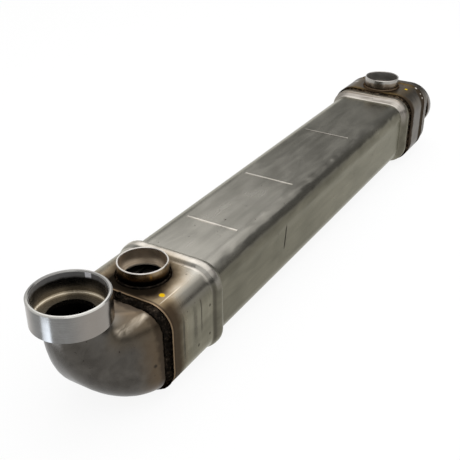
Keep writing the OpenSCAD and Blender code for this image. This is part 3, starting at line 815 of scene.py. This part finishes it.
def elbow_ring_finish():
    """The elbow's ring: turned walls, a rim painted brighter in front as a highlight, a socket
    with painted shade, darkest half way.
    """
    f = Turned("elbow_ring_steel", "z", (ELBOW_RING_X, 0))
    f.colour = f.mix(*RING_GRAIN, f.tone)
    # The wall is painted warmer and lighter to both sides of the view as a reflection
    across = (f.x - ELBOW_RING_X) * VIEW_X + f.y * VIEW_Y
    f.paint(RING_SIDE_REFLECTION, across.fade(2, 24).most(across.fade(-22, -32)) * 0.65)
    socket = f.inside(ELBOW_SOCKET_R)
    # The socket's wall takes a darker grain as painted shade, painted lighter at its foot as a
    # reflection
    wall = f.mix(*SOCKET_SHADED_GRAIN, f.tone)
    wall = f.mix(wall, SOCKET_FOOT_REFLECTION, f.length.fade(*FOOT_Z) * 0.45)
    mouth = (f.length + (f.wave - 0.5) * 2).fade(*MOUTH_Z) * socket
    glint = abs(f.y - 6.5).fade(3.4, 2.4) * f.x.fade(ELBOW_RING_X, ELBOW_RING_X + 9)
    f.paint(f.mix(wall, f.mix(MOUTH, MOUTH_GLINT, glint), mouth), socket)
    floor = f.length.fade(*SOCKET_FLOOR_Z) * socket
    f.paint(SOCKET_FLOOR, floor)
    # A bright line at the ledge as a painted highlight
    f.paint(SOCKET_LEDGE_HIGHLIGHT, f.reach.fade(31.8, 32.2) * floor)
    # The rim is painted brighter towards the front as a highlight
    front = (f.x - ELBOW_RING_X) * VIEW_Y - f.y * VIEW_X
    front = (front + (f.wave - 0.5) * 20).fade(-8, 26)
    f.paint(f.mix(*RING_RIM_AND_HIGHLIGHT, front), f.length.fade(*RIM_Z))
    rough = 0.15 + f.tone * 0.08 + socket * 0.08
    return f.close(rough, f.lines, Metallic=1 - mouth * 0.9)


# Colours of the hood's ring
HOOD_RING_GRAIN = (0.165, 0.160, 0.152), (0.270, 0.262, 0.250)
HOOD_RING_BROWN = (0.070, 0.048, 0.030)
HOOD_RING_INSIDE = (0.27, 0.25, 0.225), (0.40, 0.375, 0.345)
HOOD_RING_RIM = (0.40, 0.40, 0.405), (0.52, 0.52, 0.525)
HOOD_RIM_START = (11.2, 11.6)


def hood_ring_finish():
    """The hood's ring, browned on the side of its weld."""
    f = Turned("hood_ring_steel", "x", (-HOOD_OFFSET, BASE_Z))
    f.colour = f.mix(*HOOD_RING_GRAIN, f.tone)
    height = f.length - HOOD_RING_FOOT
    f.paint(HOOD_RING_BROWN, (height + (f.wave - 0.5) * 4).fade(9, 3) * 0.8)
    f.paint(f.mix(*HOOD_RING_INSIDE, f.tone), f.inside(HOOD_SOCKET_R))
    f.paint(f.mix(*HOOD_RING_RIM, f.wave.fade(0.30, 0.70)), height.fade(*HOOD_RIM_START))
    return f.close(0.15 + f.tone * 0.08, f.lines)


# Colours of the welds and of the tubes
WELD_GRAIN = (0.006, 0.005, 0.004), (0.034, 0.025, 0.018)
WELD_FAR, WELD_GLINT = (0.115, 0.085, 0.058), (0.34, 0.28, 0.21)
WELD_BROWN = (0.105, 0.074, 0.048)
TUBE_GRAIN = (0.13, 0.118, 0.100), (0.27, 0.25, 0.225)


def weld_finish():
    """Black weld scale, brown where it thins, with tan glints."""
    f = Finish("weld", Metallic=1.0, Specular_Tint=(0.15, 0.14, 0.13, 1))
    tone = f.cloud(4.0, detail=3, rough=0.6, twist=0.4) * 0.7 + f.cloud(1.2, rough=0.6) * 0.3
    f.colour = f.mix(*WELD_GRAIN, tone.fade(0.46, 0.74))
    far = f.x.fade(270, 290) * f.x.fade(352, 344)
    f.paint(WELD_FAR, tone.fade(0.44, 0.66) * far * 0.7)
    glint = f.cloud(1.4, rough=0.6, twist=0.3, offset=(4, 8, 1)).fade(0.68, 0.80)
    f.paint(WELD_GLINT, glint * 0.6)
    browned = f.radius(COLLAR_X["hood"], 0).fade(32, 29) * f.z.fade(101, 103)
    f.paint(WELD_BROWN, browned * 0.85)
    return f.close(0.30 + tone * 0.25, f.bump(tone, depth=0.35, strength=0.6))


def tube_finish():
    """Thin brazed tube and plate, matt and darkened."""
    f = Finish("tube_steel", Metallic=1.0)
    tone = f.cloud((40, 4, 4), detail=3, rough=0.6)
    f.colour = f.mix(*TUBE_GRAIN, tone.fade(0.3, 0.7))
    return f.close(0.36 + tone * 0.15, f.bump(tone, depth=0.1, strength=0.4))


# The part

satin = satin_finish()
tinted = tinted_finish()
drawn = drawn_finish()
weld = weld_finish()
tubes = tube_finish()
kept = {
    "port_band": tinted,
    "elbow_ring": elbow_ring_finish(),
    "hood_ring": hood_ring_finish(),
    "elbow_collar": collar_finish("elbow"),
    "hood_collar": collar_finish("hood"),
}
made = [
    (make_shell(), "shell", "satin_steel", satin),
    (make_elbow(), "elbow", "drawn_steel", drawn),
    (make_hood(), "hood", "tinted_steel", tinted),
]
made += [(bead, node, "weld", weld) for bead, node in make_welds()]

for piece, node, slot, finish in made:
    dress(piece, node, finish)
for name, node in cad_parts.items():
    node.data.materials.clear()
    node.data.materials.append(kept.get(name, tubes))


# The studio

def direction(azimuth, elevation):
    """A direction by its azimuth from +X towards +Y and its elevation, in degrees."""
    a, e = math.radians(azimuth), math.radians(elevation)
    return Vector((math.cos(a) * math.cos(e), math.sin(a) * math.cos(e), math.sin(e)))


# The floor, in metres, with the share of its own white, and the even light from all around
FLOOR_SIZE, FLOOR_Z, FLOOR_GREY, FLOOR_GLOW = 16, -0.0004, 0.82, 0.9
FILL_GREY = 0.7
# The wall's grey and how it changes along its rise: from, to and by how much
WALL_GREY, WALL_RISE = 0.31, direction(90, 62)
WALL_STEPS = ((0.50, 0.62, 0.12), (0.565, 0.635, 0.60), (0.86, 0.98, -0.5))
# Heights between which the wall turns into the white horizon
HORIZON = (0.23, 0.15)

# The photograph's camera: its axes, its place in millimetres, its lens and frame in pixels
CAMERA_RIGHT = Vector((0.514955, -0.857213, -0.002704))
CAMERA_DOWN = Vector((-0.423882, -0.251895, -0.869984))
CAMERA_AHEAD = Vector((0.745081, 0.449149, -0.493072))
CAMERA_AT = Vector((-764.516, -386.126, 493.524))
LENS_PIXELS, FRAME_PIXELS, SENSOR = 762.475, 460, 36.0


def seen_ray(nodes):
    """1 for the rays that show the background: from the camera, and in metal or glass."""
    kinds = ("Camera", "Glossy", "Transmission")
    rays = [nodes.add("LightPath", out=f"Is {kind} Ray") for kind in kinds]
    return rays[0].most(*rays[1:])


def make_floor():
    """A white floor that catches a soft shadow and looks white in the background."""
    bpy.ops.mesh.primitive_plane_add(size=FLOOR_SIZE, location=(0, 0, FLOOR_Z))
    floor = bpy.context.object
    floor.name = floor.data.name = "floor"
    material = bpy.data.materials.new("floor_white")
    nodes = Nodes(material)
    nodes.tree.nodes.clear()
    matt = nodes.add("BsdfDiffuse", None, {"Color": (FLOOR_GREY, FLOOR_GREY, FLOOR_GREY, 1)})
    glow = nodes.add("Emission", None, {"Strength": 1.0})
    both = nodes.add("MixShader", None, {0: seen_ray(nodes) * FLOOR_GLOW, 1: matt, 2: glow})
    nodes.add("OutputMaterial", None, {"Surface": both})
    floor.data.materials.append(material)


def make_world():
    """A white horizon under a grey wall that lightens upward and to the left, then dims."""
    world = bpy.data.worlds.new("studio")
    bpy.context.scene.world = world
    nodes = Nodes(world)
    nodes.tree.nodes.clear()
    where = nodes.add("TexCoord", out="Generated")
    height = nodes.add("SeparateXYZ", None, {0: where}, "Z")
    rise = nodes.add("VectorMath", {"operation": "DOT_PRODUCT"}, {0: where, 1: WALL_RISE}, "Value")
    wall = WALL_GREY
    for start, end, change in WALL_STEPS:
        wall = wall + rise.fade(start, end) * change
    seen = nodes.add("Background", None, {"Color": wall.most(height.fade(*HORIZON))})
    fill = nodes.add("Background", None, {"Color": (FILL_GREY, FILL_GREY, FILL_GREY, 1)})
    both = nodes.add("MixShader", None, {0: seen_ray(nodes), 1: fill, 2: seen})
    nodes.add("OutputWorld", None, {"Surface": both})


def soft_box(name, azimuth, elevation, distance, size, level, about=(0, 0, 0.05), spread=180,
             tint=(1, 1, 1)):
    """A lamp seen from a point of the part in some direction, aimed at that point."""
    away = direction(azimuth, elevation)
    lamp = bpy.data.lights.new(name, "AREA")
    lamp.shape = "RECTANGLE"
    lamp.size, lamp.size_y = size
    lamp.energy = level * size[0] * size[1] * math.pi
    lamp.spread = math.radians(spread)
    lamp.color = tint
    holder = bpy.data.objects.new(name, lamp)
    bpy.context.collection.objects.link(holder)
    holder.location = Vector(about) + away * distance
    holder.rotation_euler = away.to_track_quat("Z", "Y").to_euler()
    holder.visible_camera = False


def make_camera():
    """The photograph's own view."""
    view = Matrix((CAMERA_RIGHT, -CAMERA_DOWN, -CAMERA_AHEAD)).transposed().to_4x4()
    view.translation = CAMERA_AT * MM
    lens = bpy.data.cameras.new("photo_view")
    lens.sensor_width = SENSOR
    lens.lens = SENSOR * LENS_PIXELS / FRAME_PIXELS
    camera = bpy.data.objects.new("photo_view", lens)
    bpy.context.collection.objects.link(camera)
    camera.matrix_world = view
    bpy.context.scene.camera = camera


make_floor()
make_world()
soft_box("overhead", azimuth=-90, elevation=72, distance=1.5, size=(2.6, 2.6), level=1.15)
soft_box("behind", azimuth=15, elevation=50, distance=2.2, size=(2.5, 1.26), level=1.25,
         about=(-0.2, 0, 0.1))
soft_box("low_strip", azimuth=160, elevation=-34, distance=0.16, size=(0.056, 0.05), level=0.55,
         about=(-0.384, 0, 0.122), spread=60, tint=(0.80, 0.88, 1.0))
make_camera()
bpy.context.scene.view_settings.view_transform = "Standard"
